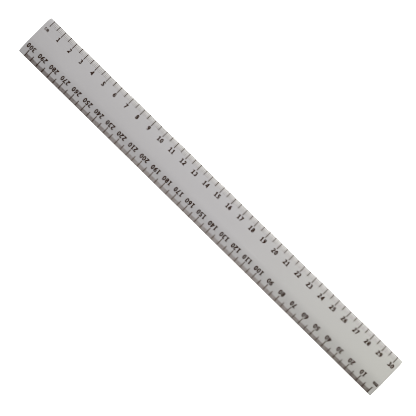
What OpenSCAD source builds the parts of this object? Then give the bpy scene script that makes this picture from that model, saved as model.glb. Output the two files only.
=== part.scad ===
// Straight 300 mm ruler: one moulded blade with a bevel along one edge, and two printed scales.
// Origin: centre of the flat underside. X runs along the blade, towards the 30 cm end.
// Y points to the ruling edge of the centimetre scale. Z points up, out of the printed face.

/* [Blade] */
// Overall length of the blade, end to end
blade_l = 307.9; // [305:0.1:320]
// Overall width of the blade, from ruling edge to ruling edge
blade_w = 29.2; // [27:0.1:34]
// Thickness of the flat band
blade_t = 2.2; // [1.8:0.1:3]
// Thickness left at the thin ruling edge, under the millimetre scale
edge_t = 1; // [0.8:0.1:1.4]
// Width of the bevel that thins the blade towards that edge, seen from above
bevel_w = 9.4; // [8:0.1:11]
// Radius that softens the crease between the bevel and the flat band
crease_r = 40; // [5:5:60]
// Width of the rounded shoulder along the thick ruling edge, under the centimetre scale
shoulder_w = 3.3; // [1:0.1:4]
// Radius of that shoulder
shoulder_r = 21; // [15:1:40]
// Radius of the four corners, seen from above
corner_r = 0.8; // [0.3:0.1:1.5]

/* [Print] */
// Thickness of the printed ink film
ink_t = 0.02; // [0.01:0.01:0.1]
// Bare strip between a ruling edge and the start of every line
line_inset = 0.1; // [0:0.05:0.3]
// Graduated length of both scales
scale_l = 300; // [100:10:300]

/* [Centimetre scale] */
// Distance from the left end of the blade to the zero line
cm_zero_margin = 3.6; // [2:0.1:5]
// Length and width of a centimetre line
cm_line = [4.7, 0.45]; // [0.1:0.01:6]
// Length and width of a half-centimetre line
cm_half_line = [3.6, 0.46]; // [0.1:0.01:5]
// Length and width of a millimetre line
cm_fine_line = [3.5, 0.15]; // [0.1:0.01:4]
// Height of the numerals
cm_num_h = 3; // [2.4:0.1:3.2]
// Width of one numeral
cm_num_w = 1.88; // [1.5:0.01:2]
// Distance from the start of one digit to the start of the next
cm_num_step = 2.25; // [2:0.05:2.6]
// Stroke width of the numerals
cm_num_pen = 0.61; // [0.25:0.01:0.65]
// Distance from the ruling edge to the top of the numerals
cm_num_gap = 5.35; // [4.9:0.05:5.5]
// How far a one-digit numeral stands before its line, and a longer one past it
cm_num_shift = [-0.15, 0.12]; // [-0.5:0.01:0.5]

/* [Millimetre scale] */
// Distance from the right end of the blade to the zero line
mm_zero_margin = 3; // [2:0.1:5]
// Length and width of a ten-millimetre line
mm_line = [4.75, 0.53]; // [0.1:0.01:6]
// Length and width of a five-millimetre line
mm_half_line = [3.85, 0.53]; // [0.1:0.01:5]
// Length and width of a one-millimetre line
mm_fine_line = [2.45, 0.26]; // [0.1:0.01:3]
// Length and width of a half-millimetre line
mm_finest_line = [2.35, 0.26]; // [0.1:0.01:3]
// Height of the numerals
mm_num_h = 3.15; // [2.4:0.05:3.3]
// Width of one numeral
mm_num_w = 1.98; // [1.5:0.01:2]
// Distance from the start of one digit to the start of the next
mm_num_step = 2.35; // [2:0.05:2.6]
// Stroke width of the numerals
mm_num_pen = 0.62; // [0.25:0.01:0.7]
// Distance from the ruling edge to the top of the numerals
mm_num_gap = 5.3; // [5:0.05:5.5]
// How far a numeral stands past its line
mm_num_shift = 0.05; // [0:0.05:0.5]

/* [Unit letters] */
// Height of the lower-case unit letters
unit_h = 1.8; // [1.6:0.1:2.4]
// Width of the letter m
unit_m_w = 1.7; // [1.6:0.1:2.2]
// Width of the letter c
unit_c_w = 1.2; // [1:0.1:1.6]
// Space between two letters
unit_space = 0.25; // [0.2:0.05:0.5]
// Stroke width of the letters
unit_pen = 0.42; // [0.25:0.01:0.46]
// Distance from the ruling edge to the top of the letters
unit_gap = 6.5; // [6:0.05:6.8]

/* [Hidden] */

plastic = "#BDBBBB";
cm_ink = "#3E3431";
mm_ink = "#2E2523";

half_w = blade_w / 2;

// Slope of the bevel, and where the rounded crease starts on the flat band
slope = atan((blade_t - edge_t) / bevel_w);
crease_y = bevel_w - half_w + crease_r * tan(slope / 2);
crease_steps = 6;

// Slope that the shoulder reaches at the thick edge, and where it starts on the flat band
shoulder_slope = asin(shoulder_w / shoulder_r);
shoulder_y = half_w - shoulder_w;
shoulder_steps = 3;

// Pitch of the numbered lines, and where each zero line stands, counted along its own scale
centimetre = 10;
cm_zero_x = cm_zero_margin - blade_l / 2;
mm_zero_x = mm_zero_margin - blade_l / 2;
arc_step = 20;

// ---------- shared outlines ----------

// Points along an elliptical arc, from angle a0 to angle a1
function arc(centre, rx, ry, a0, a1) =
    let (n = ceil(abs(a1 - a0) / arc_step))
    [for (i = [0:n]) let (a = a0 + (a1 - a0) * i / n) centre + [rx * cos(a), ry * sin(a)]];

// Unit vector square to the path at point i, leaning evenly between its two neighbours
function lean(path, i) =
    let (before = path[max(i - 1, 0)], after = path[min(i + 1, len(path) - 1)], d = after - before)
    [-d[1], d[0]] / norm(d);

// A pen stroke of even width along an open path, outlined anticlockwise
module stroke(path, pen) {
    last = len(path) - 1;
    right = [for (i = [0:last]) path[i] - lean(path, i) * pen / 2];
    left = [for (i = [last:-1:0]) path[i] + lean(path, i) * pen / 2];
    polygon(concat(right, left));
}

// A closed oval stroke that fills a w by h box
module oval(w, h, pen) {
    centre = [w / 2, h / 2];
    difference() {
        polygon(arc(centre, w / 2, h / 2, 0, 360 - arc_step));
        polygon(arc(centre, w / 2 - pen, h / 2 - pen, 0, 360 - arc_step));
    }
}

// A straight bar with its lower left corner at the given place
module bar(place, size) {
    translate(place)
        square(size);
}

// ---------- numerals: each fills a w by h box, drawn with a pen of even width ----------

module digit_0(w, h, pen) {
    oval(w, h, pen);
}

module digit_1(w, h, pen) {
    stem = w * 0.38;
    bar([stem, 0], [pen, h]);
    stroke([[w * 0.08, h * 0.8], [stem + pen / 2, h - pen * 0.45]], pen * 0.8);
    bar([w * 0.1, 0], [w * 0.84, pen * 0.8]);
}

module digit_2(w, h, pen) {
    r = (w - pen) / 2;
    bowl = arc([w / 2, h - pen / 2 - r], r, r, 155, -40);
    stroke(concat(bowl, [[pen * 0.6, pen * 0.6]]), pen);
    bar([0, 0], [w * 0.96, pen * 0.95]);
}

module digit_3(w, h, pen) {
    waist = h * 0.53;
    top_ry = (h - pen / 2 - waist) / 2;
    low_ry = (waist - pen / 2) / 2;
    stroke(arc([w * 0.42, waist + top_ry], w * 0.48 - pen / 2, top_ry, 145, -90), pen);
    stroke(arc([w * 0.42, waist - low_ry], w * 0.56 - pen / 2, low_ry, 90, -145), pen);
}

module digit_4(w, h, pen) {
    stem = w * 0.62;
    bar([stem, 0], [pen, h]);
    bar([0, h * 0.22], [w, pen * 0.9]);
    stroke([[pen * 0.4, h * 0.25], [stem + pen * 0.35, h - pen * 0.2]], pen * 0.85);
}

module digit_5(w, h, pen) {
    low_ry = h * 0.325 - pen / 2;
    bar([w * 0.12, h - pen * 0.95], [w * 0.8, pen * 0.95]);
    bar([w * 0.12, h * 0.48], [pen * 0.95, h * 0.52]);
    stroke(arc([w * 0.42, h * 0.325], w * 0.56 - pen / 2, low_ry, 125, -145), pen);
}

module digit_6(w, h, pen) {
    bowl_h = h * 0.64;
    oval(w, bowl_h, pen);
    stroke(arc([w * 0.86, bowl_h / 2], w * 0.86 - pen / 2, h - (bowl_h + pen) / 2, 180, 90), pen);
}

module digit_7(w, h, pen) {
    bar([0, h - pen * 0.95], [w, pen * 0.95]);
    stroke([[w - pen * 0.55, h - pen * 0.5], [w * 0.32, 0]], pen);
}

module digit_8(w, h, pen) {
    top_w = w * 0.9;
    oval(w, h * 0.56, pen);
    translate([(w - top_w) / 2, h * 0.56 - pen])
        oval(top_w, h * 0.44 + pen, pen);
}

module digit_9(w, h, pen) {
    translate([w, h])
        rotate(180)
            digit_6(w, h, pen);
}

module digit(n, w, h, pen) {
    if (n == 0) digit_0(w, h, pen);
    if (n == 1) digit_1(w, h, pen);
    if (n == 2) digit_2(w, h, pen);
    if (n == 3) digit_3(w, h, pen);
    if (n == 4) digit_4(w, h, pen);
    if (n == 5) digit_5(w, h, pen);
    if (n == 6) digit_6(w, h, pen);
    if (n == 7) digit_7(w, h, pen);
    if (n == 8) digit_8(w, h, pen);
    if (n == 9) digit_9(w, h, pen);
}

// The digits of a whole number, from left to right
function digits(n) = n < 10 ? [n] : concat(digits(floor(n / 10)), [n % 10]);

// A whole number, centred on x = 0, with its foot at y = 0
module number(n, w, h, step, pen) {
    row = digits(n);
    start = -((len(row) - 1) * step + w) / 2;
    for (i = [0:len(row) - 1])
        translate([start + i * step, 0])
            digit(row[i], w, h, pen);
}

// ---------- unit letters ----------

module letter_c(w, h, pen) {
    stroke(arc([w * 0.55, h / 2], w * 0.55 - pen / 2, (h - pen) / 2, 310, 50), pen);
}

module letter_m(w, h, pen) {
    r = (w - pen) / 4;
    shoulder = h - pen / 2 - r * 1.3;
    bar([0, 0], [pen, h]);
    for (i = [0:1]) {
        foot_x = pen / 2 + (i + 1) * 2 * r;
        stroke(concat([[foot_x, 0]], arc([foot_x - r, shoulder], r, r * 1.3, 0, 165)), pen);
    }
}

// ---------- lines ----------

// Lines hanging from a ruling edge: size is [length, width], at the given distances from zero
module lines(places, size) {
    for (x = places)
        translate([x - size[1] / 2, -size[0]])
            square([size[1], size[0] - line_inset]);
}

// Every multiple of a pitch along the scale that isn't also a multiple of a coarser pitch
function marks(pitch, coarser) =
    [for (i = [0:round(scale_l / pitch)])
        let (x = i * pitch, over = x / coarser)
        if (coarser == 0 || abs(over - round(over)) > 0.01) x];

// ---------- blade ----------

// Top of the blade from the thin edge to the thick one, as [y, z] points
top_line = concat(
    [[-half_w, edge_t]],
    [for (i = [0:crease_steps])
        let (a = slope * (1 - i / crease_steps))
        [crease_y - crease_r * sin(a), blade_t - crease_r * (1 - cos(a))]],
    [for (i = [0:shoulder_steps])
        let (a = shoulder_slope * i / shoulder_steps)
        [shoulder_y + shoulder_r * sin(a), blade_t - shoulder_r * (1 - cos(a))]]
);

function reversed(list) = [for (i = [len(list) - 1:-1:0]) list[i]];

// A cross-section drawn as [y, z], run along the whole blade
module along_blade() {
    rotate([90, 0, 90])
        translate([0, 0, -blade_l / 2])
            linear_extrude(height = blade_l)
                children();
}

module blade_section() {
    polygon(concat([[-half_w, 0], [half_w, 0]], reversed(top_line)));
}

module blade_plan() {
    square([blade_l - 2 * corner_r, blade_w], center = true);
    square([blade_l, blade_w - 2 * corner_r], center = true);
    for (x = [-1, 1], y = [-1, 1])
        translate([x * (blade_l / 2 - corner_r), y * (half_w - corner_r)])
            circle(r = corner_r, $fn = 32);
}

// ---------- printing ----------

// Ink film lying on the top of the blade
module film_section() {
    polygon(concat(top_line, reversed([for (p = top_line) p + [0, ink_t]])));
}

// Prints a flat drawing on the blade. The drawing's x is the distance from the zero line in the
// reading direction, and its y is the distance up to the ruling edge.
module printed(turn, zero_x) {
    intersection() {
        along_blade() film_section();
        linear_extrude(height = blade_t + 2 * ink_t)
            rotate(turn)
                translate([zero_x, half_w])
                    children();
    }
}

module on_cm_scale() {
    printed(0, cm_zero_x) children();
}

module on_mm_scale() {
    printed(180, mm_zero_x) children();
}

// ---------- sub-parts ----------

module body() {
    color(plastic)
        intersection() {
            along_blade() blade_section();
            linear_extrude(height = blade_t)
                blade_plan();
        }
}

module cm_scale_centimetre_lines() {
    color(cm_ink)
        on_cm_scale() lines(marks(centimetre, 0), cm_line);
}

module cm_scale_half_centimetre_lines() {
    color(cm_ink)
        on_cm_scale() lines(marks(centimetre / 2, centimetre), cm_half_line);
}

module cm_scale_millimetre_lines() {
    color(cm_ink)
        on_cm_scale() lines(marks(centimetre / 10, centimetre / 2), cm_fine_line);
}

module cm_scale_numerals() {
    color(cm_ink)
        on_cm_scale()
            for (n = [1:round(scale_l / centimetre)])
                translate([n * centimetre + cm_num_shift[n < 10 ? 0 : 1], -cm_num_gap - cm_num_h])
                    number(n, cm_num_w, cm_num_h, cm_num_step, cm_num_pen);
}

module cm_unit_letters() {
    start = -(unit_c_w + unit_space + unit_m_w) / 2;
    color(cm_ink)
        on_cm_scale()
            translate([start, -unit_gap - unit_h]) {
                letter_c(unit_c_w, unit_h, unit_pen);
                translate([unit_c_w + unit_space, 0])
                    letter_m(unit_m_w, unit_h, unit_pen);
            }
}

module mm_scale_ten_millimetre_lines() {
    color(mm_ink)
        on_mm_scale() lines(marks(centimetre, 0), mm_line);
}

module mm_scale_five_millimetre_lines() {
    color(mm_ink)
        on_mm_scale() lines(marks(centimetre / 2, centimetre), mm_half_line);
}

module mm_scale_millimetre_lines() {
    color(mm_ink)
        on_mm_scale() lines(marks(centimetre / 10, centimetre / 2), mm_fine_line);
}

module mm_scale_half_millimetre_lines() {
    color(mm_ink)
        on_mm_scale() lines(marks(centimetre / 20, centimetre / 10), mm_finest_line);
}

module mm_scale_numerals() {
    color(mm_ink)
        on_mm_scale()
            for (n = [1:round(scale_l / centimetre)])
                translate([n * centimetre + mm_num_shift, -mm_num_gap - mm_num_h])
                    number(n * centimetre, mm_num_w, mm_num_h, mm_num_step, mm_num_pen);
}

module mm_unit_letters() {
    start = -(2 * unit_m_w + unit_space) / 2;
    color(mm_ink)
        on_mm_scale()
            for (i = [0:1])
                translate([start + i * (unit_m_w + unit_space), -unit_gap - unit_h])
                    letter_m(unit_m_w, unit_h, unit_pen);
}

body();
cm_scale_centimetre_lines();
cm_scale_half_centimetre_lines();
cm_scale_millimetre_lines();
cm_scale_numerals();
cm_unit_letters();
mm_scale_ten_millimetre_lines();
mm_scale_five_millimetre_lines();
mm_scale_millimetre_lines();
mm_scale_half_millimetre_lines();
mm_scale_numerals();
mm_unit_letters();
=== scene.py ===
"""A straight plastic ruler lying on a white table, seen from almost straight above."""
import math

import bmesh
import bpy
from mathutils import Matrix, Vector


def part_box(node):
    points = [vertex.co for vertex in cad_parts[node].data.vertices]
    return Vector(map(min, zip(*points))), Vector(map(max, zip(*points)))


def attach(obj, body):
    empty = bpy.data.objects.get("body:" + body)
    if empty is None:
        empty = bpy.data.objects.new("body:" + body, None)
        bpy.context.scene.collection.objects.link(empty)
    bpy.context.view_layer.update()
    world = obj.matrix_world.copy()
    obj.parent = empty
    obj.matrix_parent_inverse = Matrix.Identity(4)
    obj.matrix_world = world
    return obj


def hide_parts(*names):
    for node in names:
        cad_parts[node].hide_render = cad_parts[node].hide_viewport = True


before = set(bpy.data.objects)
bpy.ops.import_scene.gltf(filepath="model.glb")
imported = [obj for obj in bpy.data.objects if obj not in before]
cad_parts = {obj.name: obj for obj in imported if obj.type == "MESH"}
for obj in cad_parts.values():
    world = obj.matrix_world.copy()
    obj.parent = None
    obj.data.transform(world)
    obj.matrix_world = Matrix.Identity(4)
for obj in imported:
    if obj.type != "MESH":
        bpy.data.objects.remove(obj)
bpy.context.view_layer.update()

MM = 0.001

# ---------- sizes that the frame's boxes don't give ----------

EDGE_T = 1.0 * MM             # height of the thin ruling edge
BEVEL_W = 9.4 * MM            # width of the bevel beside it
CREASE_R = 40.0 * MM          # radius between the bevel and the flat band
SHOULDER_W = 3.3 * MM         # rounded strip beside the thick ruling edge
SHOULDER_R = 21.0 * MM
CORNER_R = 0.8 * MM           # plan radius of the four corners
EDGE_ROUND = 0.18 * MM        # rounding of every sharp edge
SHARP_ANGLE = 40.0            # degrees; edges sharper than this are rounded

CORNER_STEPS = 8              # mesh rows through one rounded corner
MIDDLE_ROWS = 64              # mesh rows between the corners
COLUMNS = 120                 # mesh columns along the blade

# ---------- camera ----------

LENS = 69.2                   # millimetres
SENSOR_WIDTH = 36.0           # millimetres
CAMERA_AT = Vector((0.01921, -0.02487, 0.4998))
CAMERA_TURN = (3.331, -0.360, 44.466)   # degrees about X, Y and Z
NEAREST_SEEN = 0.01           # metres
VIEW_GAMMA = 0.76             # with the exposure, raises the picture's contrast
VIEW_EXPOSURE = 0.22
FILTER_WIDTH = 1.0            # pixels

# ---------- light ----------

WORLD_LIGHT = 0.55
WORLD_SEEN = 1.2              # what the camera sees past the table's edge, as white as the table
KEY_POWER = 10.7
KEY_AT = Vector((0.19, 0.68, 0.44))
KEY_SIZE = 0.4
TABLE_GLOW = 0.6              # light given off by the table, so that shadows stay faint
TABLE_SIZE = 60.0             # metres; large, so that low views show no edge


# ---------- helpers for node materials ----------

class Nodes:
    """Builds one node material with short calls. Sockets are given by name."""

    def __init__(self, name):
        self.material = bpy.data.materials.new(name)
        self.material.use_nodes = True
        self.tree = self.material.node_tree
        self.tree.nodes.clear()
        self.shader = self.add("ShaderNodeBsdfPrincipled")
        output = self.add("ShaderNodeOutputMaterial")
        self.link(self.shader, "BSDF", output, "Surface")
        self.place = self.add("ShaderNodeTexCoord")

    def add(self, kind, **settings):
        node = self.tree.nodes.new(kind)
        for key, value in settings.items():
            setattr(node, key, value)
        return node

    def link(self, source, output, target, socket):
        self.tree.links.new(source.outputs[output], target.inputs[socket])

    def noise(self, scale, detail=3.0, roughness=0.55, stretch=(1.0, 1.0, 1.0), shift=0.0):
        """Noise in object space. Scale is in cycles per metre before the stretch."""
        mapping = self.add("ShaderNodeMapping")
        mapping.inputs["Scale"].default_value = stretch
        mapping.inputs["Location"].default_value = (shift, shift, shift)
        self.link(self.place, "Object", mapping, "Vector")
        node = self.add("ShaderNodeTexNoise")
        node.inputs["Scale"].default_value = scale
        node.inputs["Detail"].default_value = detail
        node.inputs["Roughness"].default_value = roughness
        self.link(mapping, "Vector", node, "Vector")
        return node

    def ramp(self, source, output, low, high, low_value, high_value):
        """Maps low..high onto low_value..high_value, held flat outside."""
        node = self.add("ShaderNodeMapRange")
        node.inputs["From Min"].default_value = low
        node.inputs["From Max"].default_value = high
        node.inputs["To Min"].default_value = low_value
        node.inputs["To Max"].default_value = high_value
        self.link(source, output, node, "Value")
        return node

    def split(self, source):
        """The three parts of the object-space place ("Object") or direction ("Normal")."""
        node = self.add("ShaderNodeSeparateXYZ")
        self.link(self.place, source, node, "Vector")
        return node

    def size_of(self, source, output):
        """A value without its sign."""
        node = self.add("ShaderNodeMath", operation="ABSOLUTE")
        self.link(source, output, node, 0)
        return node

    def from_middle(self, near, far, near_value, far_value):
        """Maps the distance from the middle of the blade, along it, onto a value."""
        distance = self.size_of(self.split("Object"), "X")
        return self.ramp(distance, 0, near, far, near_value, far_value)

    def along(self, axis, low, high, low_value, high_value):
        """Maps the place along one axis of the blade onto a value."""
        return self.ramp(self.split("Object"), axis, low, high, low_value, high_value)

    def facing_up(self, low, high):
        """Runs from 0 on the side walls to 1 on the top and the underside."""
        return self.ramp(self.size_of(self.split("Normal"), "Z"), 0, low, high, 0.0, 1.0)

    def product(self, first, second):
        node = self.add("ShaderNodeMath", operation="MULTIPLY")
        self.link(first, 0, node, 0)
        self.link(second, 0, node, 1)
        return node

    def mix(self, factor, first, second):
        """Mixes two colours, each a tuple or a mix node, by a node's value."""
        node = self.add("ShaderNodeMix", data_type="RGBA")
        self.tree.links.new(factor.outputs[0], node.inputs[0])
        for socket, colour in ((node.inputs[6], first), (node.inputs[7], second)):
            if isinstance(colour, tuple):
                socket.default_value = (*colour, 1.0)
            else:
                self.tree.links.new(colour.outputs[2], socket)
        return node

    def colour(self, node):
        self.tree.links.new(node.outputs[2], self.shader.inputs["Base Color"])

    def roughness(self, node):
        self.tree.links.new(node.outputs[0], self.shader.inputs["Roughness"])

    def bump(self, height, depth, below=None):
        """Adds one layer of relief. Depth is in metres."""
        node = self.add("ShaderNodeBump")
        node.inputs["Strength"].default_value = 1.0
        node.inputs["Distance"].default_value = depth
        self.tree.links.new(height.outputs[0], node.inputs["Height"])
        if below is not None:
            self.tree.links.new(below.outputs[0], node.inputs["Normal"])
        self.tree.links.new(node.outputs[0], self.shader.inputs["Normal"])
        return node


# ---------- materials ----------

PLASTIC_DARK = (0.360, 0.352, 0.354)
PLASTIC_LIGHT = (0.376, 0.368, 0.370)
PLASTIC_END_TINT = (0.370, 0.366, 0.345)
PLASTIC_SPECK = (0.31, 0.303, 0.305)
PLASTIC_SCRATCH = (0.44, 0.43, 0.43)
PAINTED_EDGE_LIGHT = (0.435, 0.430, 0.418)      # painted light beside the thick ruling edge, where light glows through the plastic
PAINTED_RIM_GLOW = (0.48, 0.475, 0.46)         # painted glow at that edge itself
# painted shade on the side walls
PAINTED_WALL_SHADE = (0.25, 0.245, 0.24)
PLASTIC_IOR = 1.49
GRAIN_DEPTH = 0.000012                    # metres
SCRATCH_DEPTH = 0.000006                  # metres

SOLID_INK = (0.030, 0.011, 0.004)
THIN_INK = (0.050, 0.024, 0.014)          # where an ink covers less well
HAIRLINE_INK = (0.19, 0.165, 0.155)
EDGE_INK = (0.050, 0.021, 0.010)
THIN_EDGE_INK = (0.075, 0.040, 0.026)
PALE_INK = (0.212, 0.178, 0.160)          # what the lines' inks fade to at mid blade
INK_DEPTH = 0.000004                      # metres
INK_SHEEN = 0.08

TABLE_DARK = (0.90, 0.90, 0.90)
TABLE_LIGHT = (0.915, 0.915, 0.915)

# Places on the blade where its tone changes, in metres from its middle.
END_TINT = (0.01, 0.15)                  # along it: from none to full
PAINTED_LIGHT_STRIP = (0.0105, 0.0140)             # across it: painted light, from none to full
PAINTED_GLOW_STRIP = (0.0138, 0.0146)              # across it: painted glow, from none to full
PAINTED_LIGHT_ENDS = (0.146, 0.152)                # along it: painted light, from full to nearly none
FADED_PRINT = (0.05, 0.15)                # along it: from full to none


def body_plastic():
    """Light grey satin moulding: fine grain, faint cloudiness, handling scratches.

    It has painted light beside the graduated part of the thick ruling edge, a paler band and a
    brighter rim where the lit edge glows, and painted shade on its side walls. It is slightly
    yellower towards one end.
    """
    n = Nodes("body_plastic")
    cloud = n.noise(28.0, detail=3.0, stretch=(0.35, 1.0, 1.0))
    speck = n.noise(2600.0, detail=2.0, shift=3.0)
    scratch = n.noise(900.0, detail=1.0, stretch=(0.02, 1.0, 1.0), shift=7.0)
    grain = n.noise(1500.0, detail=3.0, shift=11.0)

    base = n.mix(n.ramp(cloud, 0, 0.35, 0.65, 0.0, 1.0), PLASTIC_DARK, PLASTIC_LIGHT)
    # the tone turns slightly yellower towards one end
    end_tinted = n.mix(n.along("X", *END_TINT, 0.0, 1.0), base, PLASTIC_END_TINT)
    speckled = n.mix(n.ramp(speck, 0, 0.62, 0.78, 0.0, 0.35), end_tinted, PLASTIC_SPECK)
    scuffed = n.mix(n.ramp(scratch, 0, 0.68, 0.74, 0.0, 0.18), speckled, PLASTIC_SCRATCH)
    # painted light: a paler band and a glowing rim beside the lit thick ruling edge, kept short
    # of the ends
    painted_light_short_of_ends = n.from_middle(*PAINTED_LIGHT_ENDS, 1.0, 0.2)
    lit_strip = n.product(n.along("Y", *PAINTED_LIGHT_STRIP, 0.0, 0.8), painted_light_short_of_ends)
    rim = n.product(n.along("Y", *PAINTED_GLOW_STRIP, 0.0, 0.6), painted_light_short_of_ends)
    top = n.mix(rim, n.mix(lit_strip, scuffed, PAINTED_EDGE_LIGHT), PAINTED_RIM_GLOW)
    # painted shade: the side walls are darker than the top
    n.colour(n.mix(n.facing_up(0.2, 0.6), PAINTED_WALL_SHADE, top))

    n.roughness(n.ramp(cloud, 0, 0.3, 0.7, 0.52, 0.62))
    relief = n.bump(grain, GRAIN_DEPTH)
    n.bump(n.ramp(scratch, 0, 0.66, 0.74, 1.0, 0.0), SCRATCH_DEPTH, relief)
    n.shader.inputs["IOR"].default_value = PLASTIC_IOR
    return n.material


def scale_ink(name, solid, thin, fade):
    """Printed ink with uneven cover. Fade is how far it goes to PALE_INK at mid blade."""
    n = Nodes(name)
    cover = n.noise(2200.0, detail=3.0, shift=5.0)
    printed = n.mix(n.ramp(cover, 0, 0.55, 0.75, 0.0, 0.5), solid, thin)
    n.colour(n.mix(n.from_middle(*FADED_PRINT, fade, 0.0), printed, PALE_INK))
    n.roughness(n.ramp(cover, 0, 0.3, 0.7, 0.48, 0.62))
    n.bump(cover, INK_DEPTH)
    n.shader.inputs["Specular IOR Level"].default_value = INK_SHEEN
    return n.material


def table_white():
    """Matt white table that gives off some light."""
    n = Nodes("table_white")
    tone = n.noise(9.0, detail=2.0)
    n.colour(n.mix(tone, TABLE_DARK, TABLE_LIGHT))
    n.roughness(n.ramp(tone, 0, 0.3, 0.7, 0.85, 0.95))
    n.shader.inputs["Emission Color"].default_value = (1.0, 1.0, 1.0, 1.0)
    n.shader.inputs["Emission Strength"].default_value = TABLE_GLOW
    return n.material


# ---------- the moulded blade ----------

def top_height(y, lo, hi):
    """Height of the blade's top at a place across its width."""
    slope = math.atan((hi.z - EDGE_T) / BEVEL_W)
    bevel_end = lo.y + BEVEL_W + CREASE_R * math.tan(slope / 2)
    bevel_start = bevel_end - CREASE_R * math.sin(slope)
    shoulder_start = hi.y - SHOULDER_W
    if y < bevel_start:
        return EDGE_T + (y - lo.y) * math.tan(slope)
    if y < bevel_end:
        return hi.z - CREASE_R + math.sqrt(CREASE_R ** 2 - (bevel_end - y) ** 2)
    if y > shoulder_start:
        return hi.z - SHOULDER_R + math.sqrt(SHOULDER_R ** 2 - (y - shoulder_start) ** 2)
    return hi.z


def half_length(y, lo, hi):
    """Half the blade's length at a place across its width, with the rounded corners."""
    into_corner = max(abs(y) - (hi.y - CORNER_R), 0.0)
    return hi.x - CORNER_R + math.sqrt(max(CORNER_R ** 2 - into_corner ** 2, 0.0))


def rows_across(lo, hi):
    """Places across the width: closer together in the corners, even in between."""
    quarter = math.pi / 2
    corner = [CORNER_R * math.sin(quarter * i / CORNER_STEPS) for i in range(CORNER_STEPS + 1)]
    width = hi.y - lo.y - 2 * CORNER_R
    middle = [lo.y + CORNER_R + width * i / MIDDLE_ROWS for i in range(1, MIDDLE_ROWS)]
    low = [lo.y + c for c in corner]
    high = [hi.y - c for c in reversed(corner)]
    return low + middle + high


def add_surface(bm, lo, hi, rows, height):
    """Adds one grid of points over the blade's outline, at the height given for each row."""
    grid = []
    for y in rows:
        reach = half_length(y, lo, hi)
        places = [reach * (2 * i / COLUMNS - 1) for i in range(COLUMNS + 1)]
        grid.append([bm.verts.new((x, y, height(y))) for x in places])
    return grid


def blade_mesh():
    """The blade's closed skin, with its sharp edges rounded."""
    lo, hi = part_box("body")
    rows = rows_across(lo, hi)
    last = len(rows) - 1
    bm = bmesh.new()
    upper = add_surface(bm, lo, hi, rows, lambda y: top_height(y, lo, hi))
    lower = add_surface(bm, lo, hi, rows, lambda y: lo.z)
    for j in range(last):
        for i in range(COLUMNS):
            bm.faces.new((upper[j][i], upper[j][i + 1], upper[j + 1][i + 1], upper[j + 1][i]))
            bm.faces.new((lower[j][i], lower[j + 1][i], lower[j + 1][i + 1], lower[j][i + 1]))
    rim = [(0, i) for i in range(COLUMNS)]
    rim += [(j, COLUMNS) for j in range(last)]
    rim += [(last, i) for i in range(COLUMNS, 0, -1)]
    rim += [(j, 0) for j in range(last, 0, -1)]
    for (j, i), (next_j, next_i) in zip(rim, rim[1:] + rim[:1]):
        bm.faces.new((lower[j][i], lower[next_j][next_i], upper[next_j][next_i], upper[j][i]))
    bm.normal_update()
    sharp = [e for e in bm.edges if e.calc_face_angle(0) > math.radians(SHARP_ANGLE)]
    bmesh.ops.bevel(bm, geom=sharp, offset=EDGE_ROUND, segments=4, profile=0.5, affect="EDGES")
    mesh = bpy.data.meshes.new("blade")
    bm.to_mesh(mesh)
    bm.free()
    mesh.shade_smooth()
    return mesh


def blade():
    mesh = blade_mesh()
    mesh.materials.append(body_plastic())
    piece = bpy.data.objects.new("blade", mesh)
    bpy.context.scene.collection.objects.link(piece)
    weigh = piece.modifiers.new("even_shading", "WEIGHTED_NORMAL")
    weigh.keep_sharp = True
    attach(piece, "root")
    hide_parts("body")


# ---------- the printed scales ----------

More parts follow.
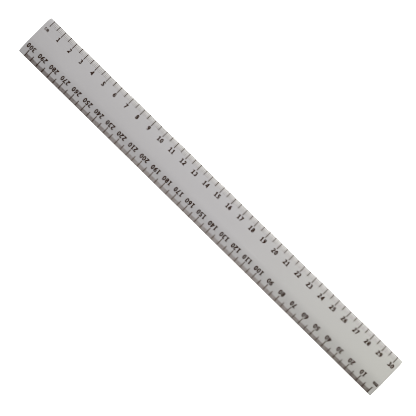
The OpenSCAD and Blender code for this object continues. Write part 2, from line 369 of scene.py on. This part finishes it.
def print_scales():
    """Gives each printed CAD node its ink. The last value is how far it fades."""
    cm_ink = scale_ink("cm_scale_ink", SOLID_INK, THIN_INK, 0.0)
    cm_line_ink = scale_ink("cm_line_ink", SOLID_INK, THIN_INK, 0.2)
    cm_hairline_ink = scale_ink("cm_hairline_ink", HAIRLINE_INK, PALE_INK, 0.5)
    mm_ink = scale_ink("mm_scale_ink", SOLID_INK, THIN_INK, 0.0)
    mm_long_line_ink = scale_ink("mm_long_line_ink", SOLID_INK, THIN_INK, 0.5)
    mm_edge_ink = scale_ink("mm_edge_ink", EDGE_INK, THIN_EDGE_INK, 0.95)
    inks = {
        "cm_scale_centimetre_lines": cm_line_ink,
        "cm_scale_half_centimetre_lines": cm_line_ink,
        "cm_scale_millimetre_lines": cm_hairline_ink,
        "cm_scale_numerals": cm_ink,
        "cm_unit_letters": cm_ink,
        "mm_scale_ten_millimetre_lines": mm_long_line_ink,
        "mm_scale_five_millimetre_lines": mm_long_line_ink,
        "mm_scale_millimetre_lines": mm_edge_ink,
        "mm_scale_half_millimetre_lines": mm_edge_ink,
        "mm_scale_numerals": mm_ink,
        "mm_unit_letters": mm_ink,
    }
    for name, ink in inks.items():
        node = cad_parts[name]
        node.data.materials.clear()
        node.data.materials.append(ink)


# ---------- the room ----------

def floor():
    bm = bmesh.new()
    bmesh.ops.create_grid(bm, x_segments=4, y_segments=4, size=TABLE_SIZE)
    mesh = bpy.data.meshes.new("table")
    bm.to_mesh(mesh)
    bm.free()
    mesh.materials.append(table_white())
    table = bpy.data.objects.new("table", mesh)
    bpy.context.scene.collection.objects.link(table)


def area_light(name, at, size, power):
    """A square light aimed at the middle of the blade."""
    data = bpy.data.lights.new(name, "AREA")
    data.size = size
    data.energy = power
    lamp = bpy.data.objects.new(name, data)
    bpy.context.scene.collection.objects.link(lamp)
    lamp.location = at
    lamp.rotation_euler = (-at).to_track_quat("-Z", "Y").to_euler()


def lights():
    world = bpy.data.worlds.new("studio")
    bpy.context.scene.world = world
    world.use_nodes = True
    sky = world.node_tree.nodes["Background"]
    sky.inputs["Color"].default_value = (1.0, 1.0, 1.0, 1.0)
    seen = world.node_tree.nodes.new("ShaderNodeLightPath")
    strength = world.node_tree.nodes.new("ShaderNodeMapRange")
    strength.inputs["To Min"].default_value = WORLD_LIGHT
    strength.inputs["To Max"].default_value = WORLD_SEEN
    world.node_tree.links.new(seen.outputs["Is Camera Ray"], strength.inputs["Value"])
    world.node_tree.links.new(strength.outputs["Result"], sky.inputs["Strength"])
    area_light("key", KEY_AT, KEY_SIZE, KEY_POWER)


def camera():
    data = bpy.data.cameras.new("camera")
    data.lens = LENS
    data.sensor_width = SENSOR_WIDTH
    data.clip_start = NEAREST_SEEN
    view = bpy.data.objects.new("camera", data)
    bpy.context.scene.collection.objects.link(view)
    view.location = CAMERA_AT
    view.rotation_euler = [math.radians(a) for a in CAMERA_TURN]
    scene = bpy.context.scene
    scene.camera = view
    scene.view_settings.view_transform = "Standard"
    scene.view_settings.gamma = VIEW_GAMMA
    scene.view_settings.exposure = VIEW_EXPOSURE
    scene.cycles.filter_width = FILTER_WIDTH


camera()
lights()
floor()
blade()
print_scales()
